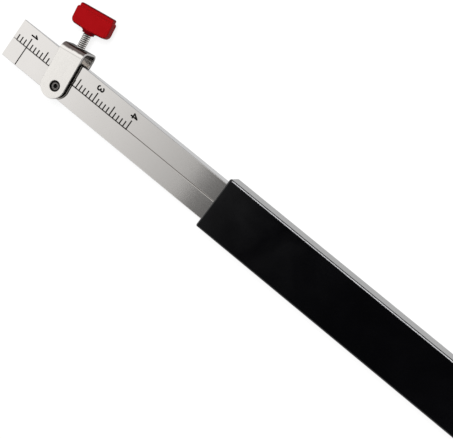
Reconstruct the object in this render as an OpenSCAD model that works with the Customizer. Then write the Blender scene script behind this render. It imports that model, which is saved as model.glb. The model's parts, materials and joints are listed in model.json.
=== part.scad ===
// Pocket weld gauge: two wedge-ground blades that slide along each other, clamped by a pinned
// yoke with a winged thumb screw, with their hooked ends kept in a closed sleeve.
// X runs from the wedge tip to the sleeve, Y towards the thumb screw, Z out of the marked face.
// The origin is the middle of the sleeve's back, on which the gauge lies.

/* [Blades] */
// Length of each blade
blade_len = 150; // [130:1:170]
// Width of each blade
blade_w = 4.73; // [4:0.01:6]
// Thickness of each blade behind the wedge
blade_t = 4; // [3:0.1:5]
// Thickness of the wedge at its tip
tip_t = 0.6; // [0.4:0.05:1]
// Wedge run for each unit of thickness
wedge_run = 10; // [8:0.5:12]
// Gap between the blades along the seam
seam_gap = 0.06; // [0.04:0.01:0.2]
// Chamfer along the blade edges
blade_edge = 0.12; // [0.05:0.01:0.3]

/* [Hooked legs] */
// Length of the leg at the hooked end of each blade
leg_len = 24; // [15:1:35]
// Width of the leg
leg_w = 2; // [1.5:0.1:2.6]
// Thickness of the leg
leg_t = 2; // [1.5:0.1:2.6]
// Radius at the shoulder where the leg starts
shoulder_r = 1.2; // [0.5:0.1:1.6]
// Length of the foot along the leg
foot_len = 1.6; // [1:0.1:3]
// Reach of the foot, across the leg and out
foot_reach = 4.3; // [3.2:0.1:4.6]

/* [Yoke] */
// Distance from the wedge tip to the pivot
pivot_run = 15.3; // [12:0.1:24]
// Tilt of the yoke as it lies
yoke_tilt = 8.4; // [0:0.1:15]
// Width of the folded strap
strap_w = 6.1; // [5:0.1:8]
// Distance from the pivot to the middle of the lugs, towards the tip
lug_set = 0.5; // [0:0.1:0.8]
// Thickness of the strap's sheet
sheet_t = 0.8; // [0.5:0.05:1]
// Outside radius of the strap's two bends
bend_r = 1.5; // [1.1:0.1:2]
// Space between the front wall and the blades
front_gap = 0.5; // [0.3:0.1:1.5]
// Space between the back wall and the blades
back_gap = 0.4; // [0.3:0.1:1.5]
// Height of the crown's underside above the blades, with the yoke upright
crown_gap = 1.8; // [1.7:0.05:3]

/* [Pivot pin] */
// Outside diameter of the coiled pin
pin_d = 2.4; // [1.8:0.1:3]
// Diameter of the hollow at the middle of the coil
pin_hollow_d = 0.9; // [0.6:0.1:1]
// Width of the slit between the turns of the coil
pin_slit = 0.07; // [0.05:0.01:0.1]
// Depth of the pin's ends below the outside of the yoke
pin_recess = 0.3; // [0.1:0.05:0.4]

/* [Thumb screw] */
// Diameter of the shank over its thread
shank_d = 2; // [1.6:0.1:2.6]
// Gap from the shank's tip to the blades, with the yoke upright
tip_gap = 0.95; // [0.9:0.05:1.1]
// Bare shank between the yoke and the wing
shank_bare = 3.55; // [2:0.05:6]
// Depth of the shank inside the wing
shank_sunk = 3.2; // [2:0.1:4]

/* [Wing] */
// Width of the wing
wing_w = 9.5; // [8:0.1:12]
// Height of the wing's paddle
paddle_h = 4.3; // [4:0.1:6]
// Rise of the paddle's lower edge from the neck to each end
paddle_belly = 0.3; // [0:0.05:0.5]
// Thickness of the paddle
paddle_t = 2.8; // [2.6:0.1:3.4]
// Radius of the paddle's lower corners
paddle_corner_r = 1.1; // [1.05:0.05:1.3]
// Rounding along the paddle's edges
paddle_edge_r = 0.5; // [0.2:0.05:0.5]
// Length of the ridge along the paddle's top
ridge_w = 8.7; // [6:0.1:9.4]
// Height of the ridge
ridge_h = 0.85; // [0.5:0.05:1.4]
// Thickness of the ridge
ridge_t = 1.7; // [1.2:0.1:2.2]
// Diameter of the neck under the paddle
neck_d = 2.8; // [2.7:0.1:3.2]
// Height of the neck
neck_h = 0.5; // [0.4:0.05:1.5]
// Radius of the hollow fillet between neck and paddle
neck_fillet_r = 0.4; // [0.2:0.1:0.4]

/* [Sleeve] */
// Length of the sleeve
sheath_len = 100; // [90:1:120]
// Length of the blades left outside the sleeve
blade_out = 59; // [50:0.5:70]
// Thickness of the sleeve's front and back walls
sheath_wall = 1; // [0.8:0.1:1.6]
// Thickness of the sleeve's side walls at its mouth
sheath_side = 1.4; // [1:0.05:2]
// Amount that each side draws in towards the closed end
sheath_draft = 0.25; // [0:0.05:0.4]
// Thickness of the closed end
sheath_floor = 1.6; // [1:0.1:3]
// Play between the blades and the sleeve
sheath_play = 0.2; // [0.1:0.05:0.4]
// Radius along the sleeve's edges
sheath_edge_r = 0.9; // [0.4:0.1:1.3]
// Lead-in chamfer around the mouth
mouth_edge = 0.25; // [0.1:0.05:0.35]

/* [Hidden] */
$fn = 64;
// Facet count of the rounded pieces that are blended by hulls
hull_fn = 24;
// Radial running clearance of the pin and the screw
run_play = 0.05;
// Chamfer at the shank's tip
shank_edge = 0.3;
// Radius of the paddle's shoulders and of the ridge's upper edges
wing_corner_r = 0.3;
// Overlap that keeps cuts and joined solids clean
over = 1;

sheath_slot_t = blade_t + 2 * sheath_play;
sheath_t = sheath_slot_t + 2 * sheath_wall;
sheath_slot_w = 2 * blade_w + seam_gap + 2 * sheath_play;
sheath_w = sheath_slot_w + 2 * sheath_side;

mouth_x = -sheath_len / 2;
closed_x = sheath_len / 2;
tip_x = mouth_x - blade_out;
end_x = tip_x + blade_len;
leg_x = end_x - leg_len;
wedge_x = tip_x + (blade_t - tip_t) * wedge_run;
pivot_x = tip_x + pivot_run;

seam_y = seam_gap / 2;
blade_y = seam_y + blade_w;
pivot_y = -seam_y - blade_w / 2;

back_z = sheath_wall + sheath_play;
front_z = back_z + blade_t;
mid_z = back_z + blade_t / 2;

yoke_back_z = back_z - back_gap - sheet_t;
yoke_depth = blade_t + front_gap + back_gap + 2 * sheet_t;
yoke_mid_z = yoke_back_z + yoke_depth / 2;
lug_r = strap_w / 2;
crown_v = blade_y - pivot_y + crown_gap + sheet_t;
strap_lean = atan(lug_set / crown_v);

shank_tip_v = blade_y - pivot_y + tip_gap;
neck_v = crown_v + shank_bare;
paddle_v = neck_v + neck_h;
ridge_v = paddle_v + paddle_h;
shank_top_v = neck_v + shank_sunk;

// The coil's slit closes by one half-turn step on each half ring
coil_halves = 5;
coil_step = (pin_d - pin_hollow_d) / 2 / coil_halves;

steel = [0.80, 0.79, 0.77];
dark_steel = [0.28, 0.27, 0.26];
red_plastic = [0.66, 0.06, 0.08];
black_plastic = [0.04, 0.04, 0.05];

// Side view of a blade: the marked face is flat and the wedge is ground on the back
module wedge_profile() {
    polygon([
        [tip_x, front_z],
        [tip_x, front_z - tip_t],
        [wedge_x, back_z],
        [end_x, back_z],
        [end_x, front_z]
    ]);
}

// Cross-section of a blade with chamfered edges
module blade_section() {
    polygon([
        [seam_y + blade_edge, back_z],
        [blade_y - blade_edge, back_z],
        [blade_y, back_z + blade_edge],
        [blade_y, front_z - blade_edge],
        [blade_y - blade_edge, front_z],
        [seam_y + blade_edge, front_z],
        [seam_y, front_z - blade_edge],
        [seam_y, back_z + blade_edge]
    ]);
}

// Plan of the leg with its foot and its shoulder radius
module leg_plan() {
    translate([leg_x - over, seam_y])
        square([leg_len + over, leg_w]);
    translate([end_x - foot_len, seam_y])
        square([foot_len, foot_reach]);
    translate([leg_x, seam_y + leg_w])
        difference() {
            square(shoulder_r);
            translate([shoulder_r, shoulder_r])
                circle(shoulder_r);
        }
}

// One blade, on the screw's side of the seam
module blade() {
    intersection() {
        translate([0, blade_y + over, 0])
            rotate([90, 0, 0])
                linear_extrude(blade_w + 2 * over)
                    wedge_profile();
        translate([tip_x - over, 0, 0])
            rotate([90, 0, 90])
                linear_extrude(blade_len - leg_len + over)
                    blade_section();
    }
    translate([0, 0, mid_z - leg_t / 2])
        linear_extrude(leg_t)
            leg_plan();
}

module scale_blade() {
    color(steel)
        blade();
}

module index_blade() {
    color(steel)
        difference() {
            mirror([0, 1, 0])
                blade();
            translate([pivot_x, pivot_y, back_z - over])
                cylinder(d = pin_d, h = blade_t + 2 * over);
        }
}

// Places what turns with the yoke: its own Y runs from the pivot along the screw
module on_pivot() {
    translate([pivot_x, pivot_y, 0])
        rotate([0, 0, yoke_tilt])
            children();
}

// A rectangle with both upper corners rounded
module round_topped(width, height, r) {
    square([width, height - r]);
    translate([r, 0])
        square([width - 2 * r, height]);
    for (x = [r, width - r])
        translate([x, height - r])
            circle(r);
}

// End view of the folded strap, drawn with depth across and height up
module strap_section() {
    difference() {
        translate([yoke_back_z, -lug_r])
            round_topped(yoke_depth, crown_v + lug_r, bend_r);
        translate([yoke_back_z + sheet_t, -lug_r - over])
            round_topped(yoke_depth - 2 * sheet_t, crown_v - sheet_t + lug_r + over, bend_r - sheet_t);
    }
}

// Front view of the folded strap: sides that lean a little to a full-round lug
module strap_outline() {
    translate([-lug_set, 0]) {
        circle(lug_r);
        rotate([0, 0, -strap_lean])
            translate([-lug_r, 0])
                square([strap_w, crown_v + 2 * over]);
    }
}

module yoke() {
    color(steel)
        on_pivot()
            difference() {
                intersection() {
                    rotate([0, -90, 0])
                        linear_extrude(strap_w + 2 * (lug_set + over), center = true)
                            strap_section();
                    translate([0, 0, yoke_back_z - over])
                        linear_extrude(yoke_depth + 2 * over)
                            strap_outline();
                }
                translate([0, 0, yoke_back_z - over])
                    cylinder(d = pin_d + 2 * run_play, h = yoke_depth + 2 * over);
                translate([0, crown_v - sheet_t - over, yoke_mid_z])
                    rotate([-90, 0, 0])
                        cylinder(d = shank_d + 2 * run_play, h = sheet_t + 2 * over);
            }
}

// One half ring of the coil's slit, centred on the near or the far centre in turn
module slit_half(turn) {
    side = turn % 2 == 0 ? 1 : -1;
    translate([side * coil_step / 2, 0, 0])
        rotate([0, 0, side > 0 ? 0 : 180])
            rotate_extrude(angle = 180)
                translate([pin_d / 2 - (turn + 0.5) * coil_step - pin_slit / 2, -over])
                    square([pin_slit, yoke_depth + 2 * over]);
}

module pivot_pin() {
    color(dark_steel)
        translate([pivot_x, pivot_y, yoke_back_z + pin_recess])
            difference() {
                cylinder(d = pin_d, h = yoke_depth - 2 * pin_recess);
                translate([0, 0, -over])
                    cylinder(d = pin_hollow_d, h = yoke_depth + 2 * over);
                for (turn = [0 : coil_halves - 1])
                    slit_half(turn);
            }
}

// Places what turns about the screw: its own Z runs up the screw from the pivot's height
module on_screw() {
    on_pivot()
        translate([0, 0, yoke_mid_z])
            rotate([-90, 0, 0])
                children();
}

module screw_shank() {
    r = shank_d / 2;
    color(dark_steel)
        on_screw()
            rotate_extrude()
                polygon([
                    [0, shank_tip_v],
                    [r - shank_edge, shank_tip_v],
                    [r, shank_tip_v + shank_edge],
                    [r, shank_top_v],
                    [0, shank_top_v]
                ]);
}

// A disc with a rounded rim, lying in the wing's plane
module soft_disc(r, t, rim) {
    rotate([90, 0, 0])
        rotate_extrude($fn = hull_fn) {
            translate([0, -t / 2])
                square([r - rim, t]);
            translate([0, rim - t / 2])
                square([r, t - 2 * rim]);
            for (y = [rim - t / 2, t / 2 - rim])
                translate([r - rim, y])
                    circle(rim);
        }
}

// Two balls, one at each face of the wing, that round a corner of it in every direction
module corner_balls(t) {
    for (y = [wing_corner_r - t / 2, t / 2 - wing_corner_r])
        translate([0, y, 0])
            sphere(wing_corner_r, $fn = hull_fn);
}

// Paddle whose lower edge dips a little from each end to the neck
module paddle() {
    hull() {
        translate([0, 0, paddle_v + paddle_corner_r])
            soft_disc(paddle_corner_r, paddle_t, paddle_edge_r);
        for (side = [-1, 1]) {
            translate([side * (wing_w / 2 - paddle_corner_r), 0, paddle_v + paddle_belly + paddle_corner_r])
                soft_disc(paddle_corner_r, paddle_t, paddle_edge_r);
            translate([side * (wing_w / 2 - wing_corner_r), 0, ridge_v - wing_corner_r])
                corner_balls(paddle_t);
        }
    }
}

// Rounded ridge along the paddle's top, sunk into it below
module ridge() {
    translate([0, -ridge_t / 2, ridge_v - wing_corner_r])
        rotate([90, 0, 90])
            linear_extrude(ridge_w, center = true)
                round_topped(ridge_t, ridge_h + wing_corner_r, wing_corner_r);
}

// Neck with a hollow fillet up to the paddle, kept within the paddle's faces
module neck() {
    r = neck_d / 2;
    flare_r = r + neck_fillet_r;
    translate([0, 0, neck_v])
        cylinder(r = r, h = neck_h + paddle_corner_r);
    translate([0, 0, paddle_v - neck_fillet_r])
        intersection() {
            rotate_extrude()
                difference() {
                    translate([r / 2, 0])
                        square([flare_r - r / 2, neck_fillet_r + paddle_edge_r]);
                    translate([flare_r, 0])
                        circle(neck_fillet_r);
                }
            translate([-flare_r, -paddle_t / 2, 0])
                cube([2 * flare_r, paddle_t, neck_h + paddle_h]);
        }
}

module wing_head() {
    color(red_plastic)
        on_screw()
            difference() {
                union() {
                    paddle();
                    ridge();
                    neck();
                }
                translate([0, 0, neck_v - over])
                    cylinder(d = shank_d + 2 * run_play, h = shank_sunk + over + run_play);
            }
}

// The sleeve's outer form, drawn in towards the closed end
module sheath_form() {
    side_y = sheath_w / 2 - sheath_edge_r;
    mouth_r = sheath_edge_r - mouth_edge;
    hull()
        for (side = [-1, 1], z = [sheath_edge_r, sheath_t - sheath_edge_r]) {
            translate([mouth_x, side * side_y, z])
                rotate([0, 90, 0])
                    cylinder(r1 = mouth_r, r2 = sheath_edge_r, h = mouth_edge, $fn = hull_fn);
            translate([closed_x - sheath_edge_r, side * (side_y - sheath_draft), z])
                rotate([0, 90, 0])
                    sphere(sheath_edge_r, $fn = hull_fn);
        }
}

module sheath() {
    color(black_plastic)
        difference() {
            sheath_form();
            translate([mouth_x - over, -sheath_slot_w / 2, sheath_wall])
                cube([sheath_len - sheath_floor + over, sheath_slot_w, sheath_slot_t]);
        }
}

scale_blade();
index_blade();
yoke();
pivot_pin();
screw_shank();
wing_head();
sheath();
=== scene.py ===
"""Looks of a pocket weld gauge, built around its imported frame. Lengths are metres."""

import json
import math

import bmesh
import bpy
from mathutils import Matrix, Vector


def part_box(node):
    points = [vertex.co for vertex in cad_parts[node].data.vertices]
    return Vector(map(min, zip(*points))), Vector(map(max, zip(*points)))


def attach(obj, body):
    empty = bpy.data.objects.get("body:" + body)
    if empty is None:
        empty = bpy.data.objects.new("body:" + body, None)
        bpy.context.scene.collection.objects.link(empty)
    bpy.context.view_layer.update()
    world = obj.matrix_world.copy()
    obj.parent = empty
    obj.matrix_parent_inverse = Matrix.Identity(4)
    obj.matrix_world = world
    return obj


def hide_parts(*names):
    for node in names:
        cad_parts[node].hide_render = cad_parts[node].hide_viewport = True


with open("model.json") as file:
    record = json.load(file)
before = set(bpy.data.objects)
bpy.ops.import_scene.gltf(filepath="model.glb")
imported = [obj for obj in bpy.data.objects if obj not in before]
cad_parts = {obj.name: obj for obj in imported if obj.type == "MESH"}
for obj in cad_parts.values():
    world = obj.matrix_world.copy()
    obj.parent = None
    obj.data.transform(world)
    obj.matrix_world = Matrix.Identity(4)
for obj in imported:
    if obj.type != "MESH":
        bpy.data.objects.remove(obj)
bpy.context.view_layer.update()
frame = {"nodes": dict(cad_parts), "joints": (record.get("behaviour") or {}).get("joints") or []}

MM = 0.001
WELD = 0.001 * MM

# Camera, as the photograph was taken
PHOTO_WIDTH = 453
FOCAL_PIXELS = 1000
SENSOR_WIDTH = 36
CAMERA_PLACE = Vector((-6.34, 41.4, 210.11)) * MM
CAMERA_AIM = Vector((-46.05, -2.34, 0)) * MM
CAMERA_ROLL = math.radians(-99.36)

# Root-gap scale: tenths of a millimetre of gap, one tick for each millimetre along the wedge
TIP_READING = 0.6
FIRST_TICK = 0.7
LAST_TICK = 4.0
WEDGE_RUN = 10
INDEX_READING = 1.0
SHORT_TICK = 1.4 * MM
LONG_TICK = 2.3 * MM
TICK_WIDTH = 0.31 * MM
BASE_LINE_WIDTH = 0.06 * MM
INDEX_WIDTH = 0.26 * MM
INDEX_SHORT = 0.1 * MM
FIGURE_HEIGHT = 1.6 * MM
FIGURE_PEN = 0.36 * MM
FIGURE_DOT_SEGMENTS = 14
FIGURE_LINE = 3.4 * MM
MARK_PROUD = 0.008 * MM
MARK_DEPTH = 0.04 * MM
MARK_THICKNESS = MARK_PROUD + MARK_DEPTH

# Pen strokes of the figures on a field one unit high, running right and up, and the field's middle
FIGURE_MIDDLE = 0.31
FIGURES = {
    1: [(0.27, 0.80), (0.57, 1.2), (0.57, 0.2)],
    2: [(0.04, 0.74), (0.10, 0.90), (0.22, 0.98), (0.34, 1.0), (0.48, 0.94), (0.56, 0.82), (0.56, 0.68),
        (0.48, 0.52), (0.30, 0.34), (0.12, 0.18), (0.02, 0.0), (0.60, 0.0)],
    3: [(0.04, 0.84), (0.13, 0.95), (0.30, 1.0), (0.46, 0.95), (0.54, 0.83), (0.54, 0.70), (0.45, 0.58),
        (0.28, 0.53), (0.48, 0.47), (0.58, 0.33), (0.57, 0.17), (0.46, 0.05), (0.29, 0.0), (0.12, 0.04),
        (0.02, 0.17)],
    4: [(0.46, 0.0), (0.46, 1.0), (0.0, 0.30), (0.64, 0.30)],
}

# Yoke, with heights above its pivot
STRAP_WIDTH = 6.1 * MM
STRAP_DEPTH = 6.5 * MM
LUG_SET = 0.5 * MM
SHEET = 0.8 * MM
BEND_RADIUS = 1.5 * MM
CROWN = 9.755 * MM
SHEET_EDGE = 0.12 * MM
RUNNING_PLAY = 0.05 * MM
NEARLY_ROUND = 0.999
LUG_SEGMENTS = 24
BEND_SEGMENTS = 12
DRILL_SEGMENTS = 72

# Pin
PIN_RADIUS = 1.2 * MM
PIN_EDGE = 0.05 * MM
PIN_CHAMFER = 0.3 * MM
PIN_HOLLOW = 0.45 * MM

# Screw, with heights above the yoke's pivot; the thread's profile is in shares of its depth and pitch
THREAD_PITCH = 0.45 * MM
THREAD_DEPTH = 0.17 * MM
THREAD_PROFILE = [(0, 0), (0, 0.12), (0.6, 0.28), (0.94, 0.42), (1, 0.56), (0.94, 0.70), (0.6, 0.84), (0, 1)]
THREAD_STEPS = 32
THREAD_WELD = 0.002 * MM
SHANK_RADIUS = 1.0 * MM
SHANK_BOTTOM = 8.105 * MM
SHANK_TOP = 16.5 * MM
SHANK_TIP_EDGE = 0.3 * MM

# Wing, with heights above the yoke's pivot
NECK_BOTTOM = 13.305 * MM
NECK_RADIUS = 1.4 * MM
NECK_FILLET = 0.4 * MM
NECK_FLARE_SHARE = 0.9
NECK_FLAT_SHARE = 0.49
NECK_STEPS = 40
PADDLE_BOTTOM = 13.805 * MM
PADDLE_BELLY = 0.3 * MM
PADDLE_TOP = 18.1 * MM
PADDLE_THICKNESS = 2.8 * MM
PADDLE_LOW_RADIUS = 1.15 * MM
PADDLE_HIGH_RADIUS = 0.5 * MM
PADDLE_RIM = 0.48 * MM
WING_WIDTH = 9.5 * MM
WING_CREASE = 0.07 * MM
RIDGE_TOP = 18.95 * MM
RIDGE_WIDTH = 8.7 * MM
RIDGE_THICKNESS = 1.7 * MM
RIDGE_RADIUS = 0.3 * MM

# Sleeve; its edges are sharper than the solid's, and its mouth is set back from the solid's
SLEEVE_EDGE = 0.5 * MM
SLEEVE_SETBACK = 0.5 * MM
SLEEVE_LIP = 0.45 * MM
SLEEVE_DRAFT = 0.25 * MM
SLEEVE_WALL = 1.0 * MM
SLEEVE_SLOT_WIDTH = 9.92 * MM
SLEEVE_FLOOR = 1.6 * MM

joints = {joint["name"]: joint for joint in frame["joints"]}
pivot = Vector(joints["yoke_swing"]["pos_m"])
screw_axis = Vector(joints["screw_lift"]["axis"]).normalized()
out_axis = Vector((0, 0, 1))
across_axis = screw_axis.cross(out_axis)
# Stands a shape drawn with X across, Y up the screw and Z out on the yoke's pivot
on_yoke = Matrix.Translation(pivot) @ Matrix((across_axis, screw_axis, out_axis)).transposed().to_4x4()

blade_low, blade_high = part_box("scale_blade")


# Node helpers

# Moulded skin: how much finer its second noise is, and that noise's share
SKIN_FINER = 4.3
SKIN_FINE_SHARE = 0.3


def add(tree, kind, settings=None, **inputs):
    """Adds a shader node; inputs are values or sockets, with spaces in their names written as underscores."""
    new = tree.nodes.new("ShaderNode" + kind)
    for name, value in (settings or {}).items():
        setattr(new, name, value)
    for name, value in inputs.items():
        connect(tree, new.inputs[name.replace("_", " ")], value)
    return new


def connect(tree, socket, value):
    if isinstance(value, bpy.types.NodeSocket):
        tree.links.new(value, socket)
    else:
        socket.default_value = value


def operate(tree, kind, operation, *operands):
    """A Math or Vector Math node with its operands in order."""
    new = tree.nodes.new(kind)
    new.operation = operation
    for socket, value in zip(new.inputs, operands):
        connect(tree, socket, value)
    return new


def calculate(tree, operation, *operands):
    return operate(tree, "ShaderNodeMath", operation, *operands).outputs["Value"]


def remap(tree, value, low, high, to_low=0.0, to_high=1.0):
    ranged = add(tree, "MapRange", Value=value, From_Min=low, From_Max=high, To_Min=to_low, To_Max=to_high)
    return ranged.outputs["Result"]


def tint(tree, factor, low, high):
    """Colour that runs from low to high with the factor."""
    return blend(tree, factor, (*low, 1), (*high, 1))


def blend(tree, factor, under, over):
    """Colour that is under where the factor is 0 and over where it is 1."""
    mixed = add(tree, "Mix", {"data_type": "RGBA"})
    for socket, value in zip((mixed.inputs[0], mixed.inputs[6], mixed.inputs[7]), (factor, under, over)):
        connect(tree, socket, value)
    return mixed.outputs[2]


def new_group(name, inputs, outputs):
    """An empty node group with float inputs given as name: default, beside its Vector, and float outputs."""
    group = bpy.data.node_groups.new(name, "ShaderNodeTree")
    group.interface.new_socket("Vector", in_out="INPUT", socket_type="NodeSocketVector")
    for label, default in inputs.items():
        socket = group.interface.new_socket(label, in_out="INPUT", socket_type="NodeSocketFloat")
        socket.default_value = default
    for label in outputs:
        group.interface.new_socket(label, in_out="OUTPUT", socket_type="NodeSocketFloat")
    return group, group.nodes.new("NodeGroupInput").outputs, group.nodes.new("NodeGroupOutput").inputs


def place_group(tree, group, **inputs):
    placed = tree.nodes.new("ShaderNodeGroup")
    placed.node_tree = group
    for name, value in inputs.items():
        connect(tree, placed.inputs[name.replace("_", " ")], value)
    return placed.outputs


def make_brushed_lines():
    """Fine lines left by grinding: long along X and close together across it."""
    group, given, result = new_group("brushed lines", {"Along": 200.0, "Across": 8000.0}, ["Lines"])
    parts = add(group, "SeparateXYZ", Vector=given["Vector"]).outputs
    stretched = add(
        group, "CombineXYZ",
        X=calculate(group, "MULTIPLY", parts["X"], given["Along"]),
        Y=calculate(group, "MULTIPLY", parts["Y"], given["Across"]),
        Z=calculate(group, "MULTIPLY", parts["Z"], given["Across"]),
    ).outputs["Vector"]
    lines = add(group, "TexNoise", Vector=stretched, Scale=1.0, Detail=5.0, Roughness=0.65)
    group.links.new(remap(group, lines.outputs["Fac"], 0.3, 0.7), result["Lines"])
    return group


def make_smudges():
    """Soft blotches left by handling."""
    group, given, result = new_group("smudges", {"Scale": 150.0, "Spread": 0.12}, ["Mask"])
    blotches = add(group, "TexNoise", Vector=given["Vector"], Scale=given["Scale"], Detail=4.0,
                   Roughness=0.55, Distortion=0.6).outputs["Fac"]
    low = calculate(group, "SUBTRACT", 0.5, given["Spread"])
    high = calculate(group, "ADD", 0.5, given["Spread"])
    group.links.new(remap(group, blotches, low, high), result["Mask"])
    return group


def make_moulded_skin():
    """Slight unevenness of a moulded surface, as a height."""
    group, given, result = new_group("moulded skin", {"Scale": 3000.0}, ["Height"])
    coarse = add(group, "TexNoise", Vector=given["Vector"], Scale=given["Scale"], Detail=2.0).outputs["Fac"]
    fine_scale = calculate(group, "MULTIPLY", given["Scale"], SKIN_FINER)
    fine = add(group, "TexNoise", Vector=given["Vector"], Scale=fine_scale, Detail=1.0).outputs["Fac"]
    group.links.new(calculate(group, "MULTIPLY_ADD", fine, SKIN_FINE_SHARE, coarse), result["Height"])
    return group


brushed_lines = make_brushed_lines()
smudges = make_smudges()
moulded_skin = make_moulded_skin()


# Materials

# Steel; the rim is how dull steel reflects when it is seen nearly edge on
DULL_RIM = (0.15, 0.145, 0.14, 1)
BLADE_DARK = (0.778, 0.753, 0.726)
BLADE_LIGHT = (0.809, 0.784, 0.757)
# Painted shade: greyer in the seam between the blades and on their narrow sides
BLADE_SEAM_SHADE = (0.36, 0.35, 0.34, 1)
BLADE_SIDE_SHADE = (0.22, 0.22, 0.225, 1)
YOKE_DARK = (0.93, 0.90, 0.858)
YOKE_LIGHT = (0.98, 0.95, 0.908)
# Shade painted along the crease under the crown
YOKE_CREASE_SHADE = (0.55, 0.53, 0.51, 1)
# Dark reflection painted over the fold
YOKE_FOLD_REFLECTION = (0.152, 0.127, 0.119, 1)
# Highlight painted on the fold near the strap's edges
YOKE_FOLD_HIGHLIGHT = (0.62, 0.61, 0.60, 1)
YOKE_SHEARED = (0.55, 0.54, 0.53, 1)
YOKE_TORN = (0.10, 0.10, 0.10, 1)
# Shade painted over the U's inner skin, nearly black just under the crown
YOKE_INSIDE_SHADE = (0.82, 0.80, 0.78, 1)
YOKE_DEEP_SHADE = (0.02, 0.02, 0.02, 1)
# Painted shade: the pin's chamfer and hollow near black
PIN_SHADE = (0.018, 0.017, 0.016)
PIN_WORN = (0.30, 0.285, 0.27)
# Painted shade in the thread's roots and painted highlight on its crests
THREAD_ROOT_SHADE = (0.12, 0.115, 0.11)
THREAD_CREST_HIGHLIGHT = (0.95, 0.93, 0.90)

# Plastic and ink
RED_DARK = (0.337, 0.0042, 0.006)
RED_LIGHT = (0.382, 0.0055, 0.008)
# Shade painted along the wing's upper and lower edge
RED_RIM_SHADE = (0.13, 0.0015, 0.004, 1)
BLACK_DARK = (0.0008, 0.0008, 0.0012)
BLACK_LIGHT = (0.0015, 0.0015, 0.002)
# Highlight painted in a line along the sleeve's upper front edge
BLACK_HIGHLIGHT = (0.62, 0.62, 0.64, 1)
INK_DARK = (0.008, 0.007, 0.006)
INK_LIGHT = (0.024, 0.021, 0.019)

# Ground steel: the shares of its lines and smudges in its shade
LINES_SHARE = 0.6
HANDS_SHARE = 0.4

# Where the blades' painted shade begins: distances from the seam and in from the sides
BLADE_SEAM_BAND = (0.05 * MM, 0.02 * MM)
BLADE_SIDE_BAND = (0.1 * MM, 0.02 * MM)

# Where the yoke's looks change, its painted shade, reflection and highlight among them: distances under its
# crown, in from its sides, and under its skin
FOLD_BAND = (1.1 * MM, 0.8 * MM)
FOLD_UNEVEN = 0.06 * MM
CREASE_LINE = 1.65 * MM
CREASE_FADE = (0.12 * MM, 0.04 * MM)
CREASE_SHARE = 0.6
DEEP_BAND = (1.7 * MM, 1.2 * MM)
FOLD_HIGHLIGHT_BAND = (0.2 * MM, 0.12 * MM)
SHEARED_BAND = (0.07 * MM, 0.02 * MM)
TORN_BAND = (0.35 * MM, 0.45 * MM)
INSIDE_BAND = (0.1 * MM, 0.05 * MM)

# Where the pin's end face begins and ends, and between which shares of the thread's depth the painted
# highlight on its crests begins
PIN_FACE_INNER = (PIN_HOLLOW - 0.02 * MM, PIN_HOLLOW + 0.08 * MM)
PIN_FACE_OUTER = (PIN_RADIUS - PIN_CHAMFER, PIN_RADIUS - PIN_CHAMFER - 0.1 * MM)
CREST_BAND = (0.9, 0.35)

# Where shade is painted on the wing: distances under its upper edge and above its lower one
RIM_UPPER_BAND = (0.35 * MM, 0.15 * MM)
RIM_LOWER_BAND = (0.35 * MM, 0.1 * MM)

# The sleeve's painted highlight line: distances short of its rounded edge, from its mouth and under its front
HIGHLIGHT_ASIDE = (0.1 * MM, 0)
HIGHLIGHT_ALONG = (0.5 * MM, 0.9 * MM)
HIGHLIGHT_UPPER = (0.015 * MM, 0.03 * MM)
HIGHLIGHT_LOWER = (0.14 * MM, 0.11 * MM)


def new_material(name, **plain):
    """A Principled material with its plain values set, and its tree, shader and Object coordinates."""
    material = bpy.data.materials.new(name)
    material.use_nodes = True
    tree = material.node_tree
    shader = tree.nodes["Principled BSDF"]
    for label, value in plain.items():
        shader.inputs[label.replace("_", " ")].default_value = value
    coords = add(tree, "TexCoord").outputs["Object"]
    return material, tree, shader.inputs, coords


def add_bump(tree, sockets, height, strength, depth):
    bump = add(tree, "Bump", Height=height, Strength=strength, Distance=depth)
    tree.links.new(bump.outputs["Normal"], sockets["Normal"])


def turned(tree, coords, angle):
    """Coordinates turned about Z, so that a pattern follows a tilted piece."""
    return add(tree, "Mapping", Vector=coords, Rotation=(0, 0, -angle)).outputs["Vector"]


def yoke_coordinates(tree, coords):
    """Distances from the pivot across the yoke, up the screw and out of the blades' faces."""
    kind = "ShaderNodeVectorMath"
    offset = operate(tree, kind, "SUBTRACT", coords, tuple(pivot)).outputs["Vector"]
    return [
        operate(tree, kind, "DOT_PRODUCT", offset, tuple(axis)).outputs["Value"]
        for axis in (across_axis, screw_axis, out_axis)
    ]


def flat_length(tree, first, second):
    flat = add(tree, "CombineXYZ", X=first, Y=second).outputs["Vector"]
    return operate(tree, "ShaderNodeVectorMath", "LENGTH", flat).outputs["Value"]


def ground_finish(tree, sockets, coords, dark, light, roughness, along, across):
    """Colour, roughness and relief of ground steel, by its lines and smudges; returns the colour."""
    lines = place_group(tree, brushed_lines, Vector=coords, Along=along, Across=across)["Lines"]
    hands = place_group(tree, smudges, Vector=coords, Scale=170.0)["Mask"]
    shade = calculate(tree, "MULTIPLY", lines, LINES_SHARE)
    shade = calculate(tree, "MULTIPLY_ADD", hands, HANDS_SHARE, shade)
    worked = remap(tree, lines, 0, 1, 0.8 * roughness, 1.2 * roughness)
    tree.links.new(calculate(tree, "MULTIPLY_ADD", hands, 0.2 * roughness, worked), sockets["Roughness"])
    add_bump(tree, sockets, lines, strength=0.1, depth=0.006 * MM)
    return tint(tree, shade, dark, light)


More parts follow.
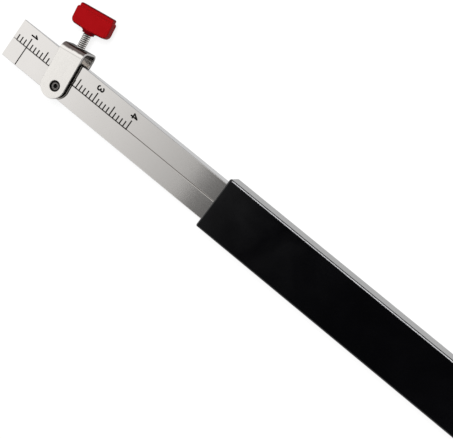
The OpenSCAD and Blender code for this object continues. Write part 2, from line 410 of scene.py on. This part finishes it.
def make_blade_steel():
    """Stainless bar, ground bright along its faces, with shade painted grey on its narrow sides and in the
    seam between the blades.
    """
    material, tree, sockets, coords = new_material("blade_steel", Metallic=1.0)
    colour = ground_finish(tree, sockets, coords, BLADE_DARK, BLADE_LIGHT, roughness=0.066, along=160.0,
                           across=7000.0)
    aside = calculate(tree, "ABSOLUTE", add(tree, "SeparateXYZ", Vector=coords).outputs["Y"])
    # Shade painted in the seam and on the narrow sides
    seam = remap(tree, aside, *(blade_low.y + off for off in BLADE_SEAM_BAND))
    side = remap(tree, aside, *(blade_high.y - short for short in BLADE_SIDE_BAND))
    for mask, shade in ((seam, BLADE_SEAM_SHADE), (side, BLADE_SIDE_SHADE)):
        colour = blend(tree, mask, colour, shade)
    tree.links.new(colour, sockets["Base Color"])
    return material


def strap_coordinates(tree, coords):
    """Height above the pivot, distance from the strap's middle line and depth under its outer skin."""
    aside, height, out = yoke_coordinates(tree, coords)
    middle = calculate(tree, "ADD", aside, remap(tree, height, 0, CROWN, LUG_SET, 0))
    reach = flat_length(tree, middle, calculate(tree, "MINIMUM", height, 0.0))
    out = calculate(tree, "ABSOLUTE", out)
    above, beyond = (
        calculate(tree, "MAXIMUM", calculate(tree, "SUBTRACT", value, outer - BEND_RADIUS), 0.0)
        for value, outer in ((height, CROWN), (out, STRAP_DEPTH / 2))
    )
    return height, reach, calculate(tree, "SUBTRACT", BEND_RADIUS, flat_length(tree, above, beyond))


def make_yoke_steel():
    """Tumbled sheet with half-torn sides; a dark reflection painted over the fold, a highlight painted on the
    fold near the strap's edges, shade painted along the crease under the crown, and shade painted over the
    U's inner skin, nearly black just under the crown.
    """
    material, tree, sockets, coords = new_material("yoke_steel", Metallic=1.0, Specular_Tint=DULL_RIM)
    up_strap = turned(tree, coords, math.atan2(screw_axis.y, screw_axis.x))
    colour = ground_finish(tree, sockets, up_strap, YOKE_DARK, YOKE_LIGHT, roughness=0.2, along=700.0,
                           across=3000.0)
    hands = place_group(tree, smudges, Vector=coords, Scale=900.0)["Mask"]
    height, reach, skin = strap_coordinates(tree, coords)
    # The fold is painted dark as a reflection, with an uneven lower edge
    uneven = calculate(tree, "ADD", height, remap(tree, hands, 0, 1, -FOLD_UNEVEN, FOLD_UNEVEN))
    folded = remap(tree, uneven, *(CROWN - under for under in FOLD_BAND))
    # Shade painted over the U's inner skin, nearly black just under the crown
    inside = remap(tree, skin, *(SHEET - short for short in INSIDE_BAND))
    near_crown = remap(tree, height, *(CROWN - under for under in DEEP_BAND))
    deep = calculate(tree, "MULTIPLY", inside, near_crown)
    # Highlight painted on the fold near the strap's edges
    near_side = remap(tree, reach, *(STRAP_WIDTH / 2 - aside for aside in FOLD_HIGHLIGHT_BAND))
    lightened = calculate(tree, "MULTIPLY", folded, near_side)
    sheared = remap(tree, reach, *(STRAP_WIDTH / 2 - aside for aside in SHEARED_BAND))
    torn = calculate(tree, "MULTIPLY", sheared, remap(tree, skin, *TORN_BAND))
    # A thin line of shade painted along the crease
    off_crease = calculate(tree, "ABSOLUTE", calculate(tree, "SUBTRACT", height, CROWN - CREASE_LINE))
    crease = remap(tree, off_crease, *CREASE_FADE, 0.0, CREASE_SHARE)
    shades = (
        (crease, YOKE_CREASE_SHADE),
        (folded, YOKE_FOLD_REFLECTION),
        (lightened, YOKE_FOLD_HIGHLIGHT),
        (sheared, YOKE_SHEARED),
        (torn, YOKE_TORN),
        (inside, YOKE_INSIDE_SHADE),
        (deep, YOKE_DEEP_SHADE),
    )
    for mask, shade in shades:
        colour = blend(tree, mask, colour, shade)
    tree.links.new(colour, sockets["Base Color"])
    return material


def make_pin_steel():
    """Coiled spring steel: shade painted near black over its chamfer and hollow, and a lighter end face left
    by wear.
    """
    material, tree, sockets, coords = new_material("pin_steel", Metallic=1.0)
    aside, height, _ = yoke_coordinates(tree, coords)
    radius = flat_length(tree, aside, height)
    hands = place_group(tree, smudges, Vector=coords, Scale=2200.0)["Mask"]
    # Shade painted near black over the chamfer and hollow; the end face stays lighter
    outside_hollow = remap(tree, radius, *PIN_FACE_INNER)
    within_chamfer = remap(tree, radius, *PIN_FACE_OUTER)
    face = calculate(tree, "MULTIPLY", outside_hollow, within_chamfer)
    lightened = calculate(tree, "MULTIPLY", face, remap(tree, hands, 0, 1, 0.6, 1.0))
    tree.links.new(tint(tree, lightened, PIN_SHADE, PIN_WORN), sockets["Base Color"])
    tree.links.new(remap(tree, lightened, 0, 1, 0.5, 0.32), sockets["Roughness"])
    return material


def make_thread_steel():
    """Rolled thread: a highlight painted on the crests, a little uneven, and shade painted dark in the roots,
    by distance from the screw's axis.
    """
    material, tree, sockets, coords = new_material("screw_steel", Metallic=1.0, Specular_Tint=DULL_RIM)
    aside, _, out = yoke_coordinates(tree, coords)
    radius = flat_length(tree, aside, out)
    # Highlight painted on the crests and shade painted in the roots
    crest = remap(tree, radius, *(SHANK_RADIUS - share * THREAD_DEPTH for share in CREST_BAND))
    hands = place_group(tree, smudges, Vector=coords, Scale=1200.0)["Mask"]
    lightened = calculate(tree, "MULTIPLY", crest, remap(tree, hands, 0, 1, 0.8, 1.0))
    tree.links.new(tint(tree, lightened, THREAD_ROOT_SHADE, THREAD_CREST_HIGHLIGHT), sockets["Base Color"])
    tree.links.new(remap(tree, lightened, 0, 1, 0.5, 0.2), sockets["Roughness"])
    return material


def plastic(name, dark, light, roughness, gloss, skin_scale, relief, hand_scale):
    """Moulded plastic: an uneven skin, and smudges that dull the gloss; returns its colour too."""
    material, tree, sockets, coords = new_material(name, IOR=1.5, Specular_IOR_Level=gloss)
    skin = place_group(tree, moulded_skin, Vector=coords, Scale=skin_scale)["Height"]
    hands = place_group(tree, smudges, Vector=coords, Scale=hand_scale, Spread=0.2)["Mask"]
    tree.links.new(remap(tree, hands, 0, 1, roughness - 0.04, roughness + 0.06), sockets["Roughness"])
    add_bump(tree, sockets, skin, strength=0.25, depth=relief)
    return material, tree, sockets, coords, tint(tree, hands, dark, light)


def make_wing_red():
    """Red moulding, with shade painted darker along its upper and lower edge."""
    material, tree, sockets, coords, colour = plastic(
        "wing_red", RED_DARK, RED_LIGHT, roughness=0.42, gloss=0.03, skin_scale=2600.0, relief=0.012 * MM,
        hand_scale=260.0)
    aside, height, _ = yoke_coordinates(tree, coords)
    aside = calculate(tree, "ABSOLUTE", aside)
    lower = remap(tree, aside, 0, WING_WIDTH / 2, PADDLE_BOTTOM, PADDLE_BOTTOM + PADDLE_BELLY)
    above_lower = calculate(tree, "SUBTRACT", height, lower)
    # Shade painted along the upper and lower edge
    upper_rim = remap(tree, height, *(RIDGE_TOP - under for under in RIM_UPPER_BAND))
    rim = calculate(tree, "MAXIMUM", upper_rim, remap(tree, above_lower, *RIM_LOWER_BAND))
    tree.links.new(blend(tree, rim, colour, RED_RIM_SHADE), sockets["Base Color"])
    return material


def make_sheath_black():
    """Glossy black moulding, with a pale highlight painted in a line along one front edge."""
    material, tree, sockets, coords, colour = plastic(
        "sheath_black", BLACK_DARK, BLACK_LIGHT, roughness=0.115, gloss=0.55, skin_scale=900.0,
        relief=0.006 * MM, hand_scale=90.0)
    along, aside, height = add(tree, "SeparateXYZ", Vector=coords).outputs
    low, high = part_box("sheath")
    mouth = low.x + SLEEVE_SETBACK
    edge = high.y - SLEEVE_DRAFT - SLEEVE_EDGE
    hands = place_group(tree, smudges, Vector=coords, Scale=400.0, Spread=0.2)["Mask"]
    # Highlight painted in a thin line along the upper front edge, a little uneven
    edge_highlight = remap(tree, hands, 0, 1, 0.7, 1.0)
    limits = (
        (aside, [edge - short for short in HIGHLIGHT_ASIDE]),
        (along, [mouth + off for off in HIGHLIGHT_ALONG]),
        (height, [high.z - under for under in HIGHLIGHT_UPPER]),
        (height, [high.z - under for under in HIGHLIGHT_LOWER]),
    )
    for place, band in limits:
        edge_highlight = calculate(tree, "MULTIPLY", edge_highlight, remap(tree, place, *band))
    tree.links.new(blend(tree, edge_highlight, colour, BLACK_HIGHLIGHT), sockets["Base Color"])
    return material


def make_mark_black():
    """Dark etched marking, a little uneven."""
    material, tree, sockets, coords = new_material("mark_black", Specular_IOR_Level=0.2)
    hands = place_group(tree, smudges, Vector=coords, Scale=2500.0, Spread=0.2)["Mask"]
    tree.links.new(tint(tree, hands, INK_DARK, INK_LIGHT), sockets["Base Color"])
    tree.links.new(remap(tree, hands, 0, 1, 0.5, 0.75), sockets["Roughness"])
    return material


blade_steel = make_blade_steel()
yoke_steel = make_yoke_steel()
pin_steel = make_pin_steel()
screw_steel = make_thread_steel()
wing_red = make_wing_red()
sheath_black = make_sheath_black()
mark_black = make_mark_black()


# Mesh helpers

def piece_from(bm, name, material, smooth_angle=30):
    """A finished piece from a bmesh whose place is already in its vertices."""
    mesh = bpy.data.meshes.new(name)
    bm.to_mesh(mesh)
    bm.free()
    mesh.materials.append(material)
    mesh.shade_smooth()
    mesh.set_sharp_from_angle(angle=math.radians(smooth_angle))
    piece = bpy.data.objects.new(name, mesh)
    bpy.context.scene.collection.objects.link(piece)
    return piece


def applied(piece):
    """The piece's mesh with its modifiers applied; the modifiers then go."""
    bpy.context.view_layer.update()
    shaped = piece.evaluated_get(bpy.context.evaluated_depsgraph_get())
    mesh = bpy.data.meshes.new_from_object(shaped)
    piece.modifiers.clear()
    old = piece.data
    piece.data = mesh
    bpy.data.meshes.remove(old)
    return piece


def combine(piece, bm, operation):
    """Joins a shape to the piece, or cuts it out, in the piece's own material."""
    tool = piece_from(bm, "tool", piece.data.materials[0])
    work = piece.modifiers.new("tool", "BOOLEAN")
    work.operation = operation
    work.solver = "EXACT"
    work.object = tool
    applied(piece)
    bpy.data.objects.remove(tool)


def soften(piece, width, segments, angle=35):
    """Rounds every edge sharper than the angle."""
    bevel = piece.modifiers.new("soft edges", "BEVEL")
    bevel.width = width
    bevel.segments = segments
    bevel.limit_method = "ANGLE"
    bevel.angle_limit = math.radians(angle)
    return settle_normals(piece)


def settle_normals(piece):
    """Lets the wide faces shade flat beside their rounded edges."""
    weigh = piece.modifiers.new("flat faces", "WEIGHTED_NORMAL")
    weigh.weight = 100
    weigh.keep_sharp = True
    return applied(piece)


def bevel_edges(bm, edges, radius, segments):
    bmesh.ops.bevel(bm, geom=edges, offset=radius, offset_type="OFFSET", segments=segments, profile=0.5,
                    affect="EDGES", material=-1, clamp_overlap=True)


def round_corners(bm, verts, radius, segments):
    """Rounds corners of flat faces in their own plane."""
    bmesh.ops.bevel(bm, geom=verts, offset=radius, offset_type="OFFSET", segments=segments, profile=0.5,
                    affect="VERTICES", material=-1)


def add_block(bm, low, high):
    """An axis-aligned block between two corners; returns its vertices."""
    size = Vector(high) - Vector(low)
    middle = (Vector(high) + Vector(low)) / 2
    place = Matrix.Translation(middle) @ Matrix.Diagonal((*size, 1))
    return bmesh.ops.create_cube(bm, size=1, matrix=place)["verts"]


def softened_copy(node, name, material, width, segments):
    """A CAD solid with its sharp edges rounded a little, as tumbling leaves them."""
    bm = bmesh.new()
    bm.from_mesh(frame["nodes"][node].data)
    bmesh.ops.remove_doubles(bm, verts=bm.verts, dist=WELD)
    bmesh.ops.dissolve_limit(bm, angle_limit=math.radians(0.5), verts=bm.verts, edges=bm.edges)
    return soften(piece_from(bm, name, material), width, segments)


# Scale markings

mark_level = Matrix.Translation((0, 0, blade_high.z + MARK_PROUD - MARK_THICKNESS / 2))


def reading_x(reading):
    """Where a reading stands along the blades."""
    return blade_low.x + (reading - TIP_READING) * WEDGE_RUN * MM


def stroke(bm, x_from, x_to, y_from, y_to):
    """One filled stroke of marking, let into the marked face."""
    add_block(bm, (x_from, y_from, blade_high.z - MARK_DEPTH), (x_to, y_to, blade_high.z + MARK_PROUD))


def make_ticks():
    """Ticks on a thin line along the seam, longer at every fifth tenth."""
    seam = blade_low.y
    bm = bmesh.new()
    count = round((LAST_TICK - FIRST_TICK) * 10)
    for step in range(count + 1):
        tenths = round(FIRST_TICK * 10) + step
        x = reading_x(tenths / 10)
        length = LONG_TICK if tenths % 5 == 0 else SHORT_TICK
        stroke(bm, x - TICK_WIDTH / 2, x + TICK_WIDTH / 2, seam, seam + length)
    stroke(bm, reading_x(FIRST_TICK), reading_x(LAST_TICK), seam, seam + BASE_LINE_WIDTH)
    return piece_from(bm, "scale_ticks", mark_black)


def pen_dot(bm, point):
    """Where the pen rests on a point of the marked face."""
    radius = FIGURE_PEN / 2
    place = mark_level @ Matrix.Translation(point.to_3d())
    bmesh.ops.create_cone(bm, cap_ends=True, segments=FIGURE_DOT_SEGMENTS, radius1=radius, radius2=radius,
                          depth=MARK_THICKNESS, matrix=place)


def pen_stroke(bm, start, end):
    """A straight stroke between two points of the marked face."""
    run = end - start
    turn = Matrix.Rotation(math.atan2(run.y, run.x), 4, "Z")
    middle = Matrix.Translation(((start + end) / 2).to_3d())
    bar = Matrix.Diagonal((run.length, FIGURE_PEN, MARK_THICKNESS, 1))
    bmesh.ops.create_cube(bm, size=1, matrix=mark_level @ middle @ turn @ bar)


def make_figure(reading):
    """A figure beside its long tick, with its head towards the sleeve."""
    head = reading_x(reading)
    points = [
        Vector((head + (up - 0.5) * FIGURE_HEIGHT, FIGURE_LINE - (right - FIGURE_MIDDLE) * FIGURE_HEIGHT))
        for right, up in FIGURES[reading]
    ]
    bm = bmesh.new()
    for point in points:
        pen_dot(bm, point)
    for start, end in zip(points, points[1:]):
        pen_stroke(bm, start, end)
    return piece_from(bm, f"scale_figure_{reading}", mark_black)


def make_index_line():
    """The one line across the other blade, against which the scale is read."""
    index_low, index_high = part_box("index_blade")
    bm = bmesh.new()
    x = reading_x(INDEX_READING)
    stroke(bm, x - INDEX_WIDTH / 2, x + INDEX_WIDTH / 2, index_low.y + INDEX_SHORT, index_high.y)
    return piece_from(bm, "index_line", mark_black)


# Folded yoke

def drill(piece, radius, matrix, depth):
    """Cuts a round hole through a piece."""
    bm = bmesh.new()
    bmesh.ops.create_cone(bm, cap_ends=True, segments=DRILL_SEGMENTS, radius1=radius, radius2=radius,
                          depth=depth, matrix=matrix)
    combine(piece, bm, "DIFFERENCE")


def make_yoke():
    """A strap folded to a U over the blades, leaning a little to its full-round lugs."""
    half = STRAP_WIDTH / 2
    bm = bmesh.new()
    front = STRAP_DEPTH / 2
    fold_line = [(-half, front), (CROWN, front), (CROWN, -front), (-half, -front)]
    verts = [bm.verts.new((-half, height, out)) for height, out in fold_line]
    edges = [bm.edges.new(pair) for pair in zip(verts, verts[1:])]
    grown = bmesh.ops.extrude_edge_only(bm, edges=edges)["geom"]
    far = [v for v in grown if isinstance(v, bmesh.types.BMVert)]
    bmesh.ops.translate(bm, verts=far, vec=(STRAP_WIDTH, 0, 0))
    bmesh.ops.recalc_face_normals(bm, faces=bm.faces)
    lug_corners = [v for v in bm.verts if v.co.y < 0]
    round_corners(bm, lug_corners, NEARLY_ROUND * half, LUG_SEGMENTS)
    folds = [e for e in bm.edges if len(e.link_faces) == 2]
    bevel_edges(bm, folds, BEND_RADIUS, BEND_SEGMENTS)
    crown_face = max(bm.faces, key=lambda face: face.calc_center_median().y)
    if crown_face.normal.y < 0:
        bmesh.ops.reverse_faces(bm, faces=bm.faces)
    bmesh.ops.solidify(bm, geom=bm.faces[:], thickness=SHEET)
    bmesh.ops.recalc_face_normals(bm, faces=bm.faces)
    for vert in bm.verts:
        vert.co.x -= LUG_SET * (1 - max(0, vert.co.y / CROWN))
    yoke = piece_from(bm, "folded_yoke", yoke_steel)
    drill(yoke, PIN_RADIUS + RUNNING_PLAY, Matrix.Identity(4), 2 * STRAP_DEPTH)
    down_screw = Matrix.Translation((0, CROWN, 0)) @ Matrix.Rotation(math.radians(90), 4, "X")
    drill(yoke, SHANK_RADIUS + RUNNING_PLAY, down_screw, 4 * SHEET)
    soften(yoke, SHEET_EDGE, segments=3)
    yoke.data.transform(on_yoke)
    return yoke


# Threaded shank

def make_shank():
    """A round-crested thread swept up the shank, cut square at the top and chamfered at the tip."""
    bm = bmesh.new()
    turns = math.ceil((SHANK_TOP - SHANK_BOTTOM) / THREAD_PITCH) + 2
    start = SHANK_BOTTOM - 1.5 * THREAD_PITCH
    root = SHANK_RADIUS - THREAD_DEPTH
    verts = [
        bm.verts.new((root + rise * THREAD_DEPTH, start + share * THREAD_PITCH, 0))
        for rise, share in THREAD_PROFILE
    ]
    edges = [bm.edges.new(pair) for pair in zip(verts, verts[1:])]
    bmesh.ops.spin(bm, geom=verts + edges, cent=(0, 0, 0), axis=(0, 1, 0), angle=math.tau * turns,
                   steps=THREAD_STEPS * turns, dvec=(0, THREAD_PITCH / THREAD_STEPS, 0), use_merge=False,
                   use_duplicate=False)
    bmesh.ops.remove_doubles(bm, verts=bm.verts, dist=THREAD_WELD)
    for height, outward in ((SHANK_BOTTOM, -1), (SHANK_TOP, 1)):
        bmesh.ops.bisect_plane(bm, geom=bm.verts[:] + bm.edges[:] + bm.faces[:], plane_co=(0, height, 0),
                               plane_no=(0, outward, 0), clear_outer=True)
    tip_top = SHANK_BOTTOM + SHANK_TIP_EDGE
    for vert in bm.verts:
        limit = SHANK_RADIUS - max(0, tip_top - vert.co.y)
        radius = math.hypot(vert.co.x, vert.co.z)
        if radius > limit:
            vert.co.x *= limit / radius
            vert.co.z *= limit / radius
    rims = [edge for edge in bm.edges if edge.is_boundary]
    bmesh.ops.holes_fill(bm, edges=rims, sides=0)
    bmesh.ops.recalc_face_normals(bm, faces=bm.faces)
    bmesh.ops.transform(bm, matrix=on_yoke, verts=bm.verts)
    return piece_from(bm, "threaded_shank", screw_steel, smooth_angle=50)


# Wing

def make_paddle():
    """Flat grip with round low corners, a soft rim and a lower edge that dips to the neck."""
    half = WING_WIDTH / 2
    bm = bmesh.new()
    ends = PADDLE_BOTTOM + PADDLE_BELLY
    outline = [(-half, ends), (0, PADDLE_BOTTOM), (half, ends), (half, PADDLE_TOP), (-half, PADDLE_TOP)]
    verts = [bm.verts.new((across, height, -PADDLE_THICKNESS / 2)) for across, height in outline]
    bm.faces.new(verts)
    low_corners, high_corners = verts[0:3:2], verts[3:]
    round_corners(bm, low_corners, PADDLE_LOW_RADIUS, segments=8)
    round_corners(bm, high_corners, PADDLE_HIGH_RADIUS, segments=5)
    grown = bmesh.ops.extrude_face_region(bm, geom=bm.faces[:])["geom"]
    front = [v for v in grown if isinstance(v, bmesh.types.BMVert)]
    bmesh.ops.translate(bm, verts=front, vec=(0, 0, PADDLE_THICKNESS))
    bmesh.ops.recalc_face_normals(bm, faces=bm.faces)
    rims = [e for e in bm.edges if sorted(round(abs(f.normal.z)) for f in e.link_faces) == [0, 1]]
    bevel_edges(bm, rims, PADDLE_RIM, segments=6)
    return bm


def make_ridge():
    """Narrower bar along the paddle's upper edge."""
    half = RIDGE_WIDTH / 2
    back = -RIDGE_THICKNESS / 2
    bm = bmesh.new()
    add_block(bm, (-half, PADDLE_TOP - 4 * RIDGE_RADIUS, back), (half, RIDGE_TOP, -back))
    upper = [e for e in bm.edges if all(v.co.y > PADDLE_TOP for v in e.verts)]
    bevel_edges(bm, upper, RIDGE_RADIUS, segments=4)
    return bm


def make_neck():
    """Collar round the shank that flares into the paddle, kept within the paddle's thickness."""
    bm = bmesh.new()
    flare_bottom = PADDLE_BOTTOM - NECK_FLARE_SHARE * NECK_FILLET
    sweep = [math.radians(angle) for angle in range(0, 91, 15)]
    flare = [
        (NECK_RADIUS + NECK_FILLET * (1 - math.cos(angle)), flare_bottom + NECK_FILLET * math.sin(angle))
        for angle in sweep
    ]
    profile = [(NECK_RADIUS, NECK_BOTTOM), *flare, (NECK_RADIUS, PADDLE_BOTTOM + 2 * NECK_FILLET)]
    verts = [bm.verts.new((radius, height, 0)) for radius, height in profile]
    edges = [bm.edges.new(pair) for pair in zip(verts, verts[1:])]
    bmesh.ops.spin(bm, geom=verts + edges, cent=(0, 0, 0), axis=(0, 1, 0), angle=math.tau, steps=NECK_STEPS,
                   use_merge=True, use_duplicate=False)
    bmesh.ops.remove_doubles(bm, verts=bm.verts, dist=WELD)
    limit = NECK_FLAT_SHARE * PADDLE_THICKNESS
    for vert in bm.verts:
        vert.co.z = max(-limit, min(limit, vert.co.z))
    bmesh.ops.holes_fill(bm, edges=[e for e in bm.edges if e.is_boundary], sides=0)
    bmesh.ops.recalc_face_normals(bm, faces=bm.faces)
    return bm


def make_wing():
    """Paddle, ridge and neck, joined as one moulding."""
    wing = piece_from(make_paddle(), "wing_grip", wing_red)
    for bm in (make_ridge(), make_neck()):
        combine(wing, bm, "UNION")
    soften(wing, WING_CREASE, segments=2, angle=40)
    wing.data.transform(on_yoke)
    return wing


# Sleeve

def make_sleeve():
    """Drawn box with rounded edges, closed at the far end, and a slot for the blades from its mouth."""
    low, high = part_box("sheath")
    low.x += SLEEVE_SETBACK
    bm = bmesh.new()
    verts = add_block(bm, low, high)
    for vert in verts:
        if vert.co.x > 0:
            vert.co.y *= 1 - SLEEVE_DRAFT / high.y
    mouth_edges = [e for e in bm.edges if all(v.co.x < 0 for v in e.verts)]
    bevel_edges(bm, [e for e in bm.edges if e not in mouth_edges], SLEEVE_EDGE, segments=8)
    mouth = min(bm.faces, key=lambda face: face.calc_center_median().x)
    bmesh.ops.inset_individual(bm, faces=[mouth], thickness=SLEEVE_WALL)
    slot_share = SLEEVE_SLOT_WIDTH / (max(v.co.y for v in mouth.verts) - min(v.co.y for v in mouth.verts))
    for vert in mouth.verts:
        vert.co.y *= slot_share
    inner = bmesh.ops.extrude_discrete_faces(bm, faces=[mouth])["faces"][0]
    depth = high.x - low.x - SLEEVE_FLOOR
    bmesh.ops.translate(bm, verts=inner.verts, vec=(depth, 0, 0))
    lips = [
        e for e in bm.edges
        if all(abs(v.co.x - low.x) < 10 * WELD for v in e.verts)
        and any(abs(f.normal.x) < 0.5 for f in e.link_faces)
    ]
    bevel_edges(bm, lips, SLEEVE_LIP, segments=5)
    bmesh.ops.recalc_face_normals(bm, faces=bm.faces)
    return settle_normals(piece_from(bm, "sleeve", sheath_black, smooth_angle=40))


# Pieces on their bodies

def seat(piece, body, slot, *nodes):
    """Puts a piece on its body, in place of the solids that it is made after; its slot is not used."""
    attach(piece, body)
    if nodes:
        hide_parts(*nodes)


def dress(node, material):
    """Gives its material to a solid that is shown as it is."""
    shown = frame["nodes"][node]
    shown.data.materials.clear()
    shown.data.materials.append(material)


dress("scale_blade", blade_steel)
dress("index_blade", blade_steel)
seat(make_ticks(), "scale_body", "blade_steel")
for whole in range(math.ceil(FIRST_TICK), round(LAST_TICK) + 1):
    seat(make_figure(whole), "scale_body", "blade_steel")
seat(make_index_line(), "index_body", "blade_steel")
seat(make_yoke(), "yoke_body", "yoke_steel", "yoke")
seat(softened_copy("pivot_pin", "coiled_pin", pin_steel, PIN_EDGE, 2), "index_body", "pin_steel", "pivot_pin")
seat(make_shank(), "screw_body", "screw_steel", "screw_shank")
seat(make_wing(), "wing_body", "wing_red", "wing_head")
seat(make_sleeve(), "sheath_body", "sheath_black", "sheath")


# Stage: floor, light and camera

# Floor: what it throws back on the gauge, and what the camera and gloss see of it
FLOOR_HALF = 2.0
FLOOR_BOUNCE = 0.35
FLOOR_GLOW = 0.84
FLOOR_SHARE = 0.2

# Sun
SUN_STRENGTH = 2.85
SUN_ANGLE = math.radians(30)
SUN_FROM = Vector((0.1, 0.25, 0.96))

# Dome: the even fill, then the levels that gloss sees, each with the directions between which it changes
FILL_LEVEL = 0.16
PANEL_DIM = 0.555
PANEL_BRIGHT = 1.0
PANEL_SPAN = (-0.25, -0.41)
PANEL_END = (-0.2215, -0.2345)
CEILING_DARK = 0.02
CEILING_LEFT = 0.22
CEILING_LEFT_SPAN = (-0.15, -0.225)
CEILING_RIGHT = 0.15
RIGHT_SPAN = (0.33, 0.45)
SKY_LEFT = 0.75
SKY_RIGHT = 0.2
SKY_RIGHT_LOW = 0.7
SKY_RIGHT_LOW_SPAN = (0.45, 0.36)
SKY_LOW_SPAN = (0.8, 0.65)
SKY_BACK_SPAN = (0.0, 0.08)


def seen_directly(tree):
    """1 for camera, glossy and transmission rays, and 0 for the rest."""
    rays = add(tree, "LightPath").outputs
    seen = calculate(tree, "MAXIMUM", rays["Is Camera Ray"], rays["Is Glossy Ray"])
    return calculate(tree, "MAXIMUM", seen, rays["Is Transmission Ray"])


def make_floor():
    """White floor that keeps the gauge's soft shadow."""
    bm = bmesh.new()
    bmesh.ops.create_grid(bm, x_segments=1, y_segments=1, size=FLOOR_HALF)
    mesh = bpy.data.meshes.new("floor")
    bm.to_mesh(mesh)
    bm.free()
    material = bpy.data.materials.new("floor_white")
    material.use_nodes = True
    tree = material.node_tree
    tree.nodes.remove(tree.nodes["Principled BSDF"])
    plain = add(tree, "BsdfDiffuse", Color=(FLOOR_BOUNCE, FLOOR_BOUNCE, FLOOR_BOUNCE, 1))
    lit = add(tree, "BsdfDiffuse", Color=(FLOOR_SHARE, FLOOR_SHARE, FLOOR_SHARE, 1))
    glow = add(tree, "Emission", Color=(1, 1, 1, 1), Strength=FLOOR_GLOW)
    pale = tree.nodes.new("ShaderNodeAddShader")
    tree.links.new(lit.outputs[0], pale.inputs[0])
    tree.links.new(glow.outputs[0], pale.inputs[1])
    mixed = tree.nodes.new("ShaderNodeMixShader")
    tree.links.new(seen_directly(tree), mixed.inputs[0])
    tree.links.new(plain.outputs[0], mixed.inputs[1])
    tree.links.new(pale.outputs[0], mixed.inputs[2])
    tree.links.new(mixed.outputs[0], tree.nodes["Material Output"].inputs["Surface"])
    mesh.materials.append(material)
    floor = bpy.data.objects.new("floor", mesh)
    bpy.context.scene.collection.objects.link(floor)


def make_dome():
    """Studio dome: an even fill, and for gloss a panel on the left, a dark ceiling and a bright sky."""
    world = bpy.data.worlds.new("studio")
    bpy.context.scene.world = world
    world.use_nodes = True
    tree = world.node_tree
    direction = add(tree, "TexCoord").outputs["Generated"]
    side, away, up = add(tree, "SeparateXYZ", Vector=direction).outputs
    panel = remap(tree, side, *PANEL_SPAN, PANEL_DIM, PANEL_BRIGHT)
    panel = calculate(tree, "MULTIPLY", panel, remap(tree, side, *PANEL_END))
    left_glow = remap(tree, side, *CEILING_LEFT_SPAN, CEILING_DARK, CEILING_LEFT)
    right_glow = remap(tree, side, *RIGHT_SPAN, CEILING_DARK, CEILING_RIGHT)
    ceiling = calculate(tree, "MAXIMUM", left_glow, right_glow)
    right_sky = remap(tree, up, *SKY_RIGHT_LOW_SPAN, SKY_RIGHT, SKY_RIGHT_LOW)
    sky = remap(tree, side, *RIGHT_SPAN, SKY_LEFT, right_sky)
    open_sky = calculate(tree, "MAXIMUM", remap(tree, up, *SKY_LOW_SPAN), remap(tree, away, *SKY_BACK_SPAN))
    around = add(tree, "Mix", {"data_type": "FLOAT"}, Factor=open_sky, A=ceiling, B=sky).outputs["Result"]
    shown = calculate(tree, "MAXIMUM", panel, around)
    rays = add(tree, "LightPath").outputs
    level = add(tree, "Mix", {"data_type": "FLOAT"}, Factor=rays["Is Glossy Ray"], A=FILL_LEVEL, B=shown)
    strength = calculate(tree, "MAXIMUM", level.outputs["Result"], rays["Is Camera Ray"])
    tree.links.new(strength, tree.nodes["Background"].inputs["Strength"])
    tree.nodes["Background"].inputs["Color"].default_value = (1, 1, 1, 1)


def make_sun():
    light = bpy.data.lights.new("key", "SUN")
    light.energy = SUN_STRENGTH
    light.angle = SUN_ANGLE
    key = bpy.data.objects.new("key", light)
    key.rotation_mode = "QUATERNION"
    key.rotation_quaternion = SUN_FROM.to_track_quat("Z", "Y")
    key.visible_glossy = False
    bpy.context.scene.collection.objects.link(key)


def make_camera():
    data = bpy.data.cameras.new("camera")
    data.sensor_fit = "HORIZONTAL"
    data.sensor_width = SENSOR_WIDTH
    data.lens = SENSOR_WIDTH * FOCAL_PIXELS / PHOTO_WIDTH
    data.clip_start = 0.01
    camera = bpy.data.objects.new("camera", data)
    camera.rotation_mode = "QUATERNION"
    aim = (CAMERA_AIM - CAMERA_PLACE).to_track_quat("-Z", "Y").to_matrix()
    camera.rotation_quaternion = (aim @ Matrix.Rotation(CAMERA_ROLL, 3, "Z")).to_quaternion()
    camera.location = CAMERA_PLACE
    bpy.context.scene.collection.objects.link(camera)
    bpy.context.scene.camera = camera


make_floor()
make_dome()
make_sun()
make_camera()
bpy.context.scene.view_settings.view_transform = "Standard"
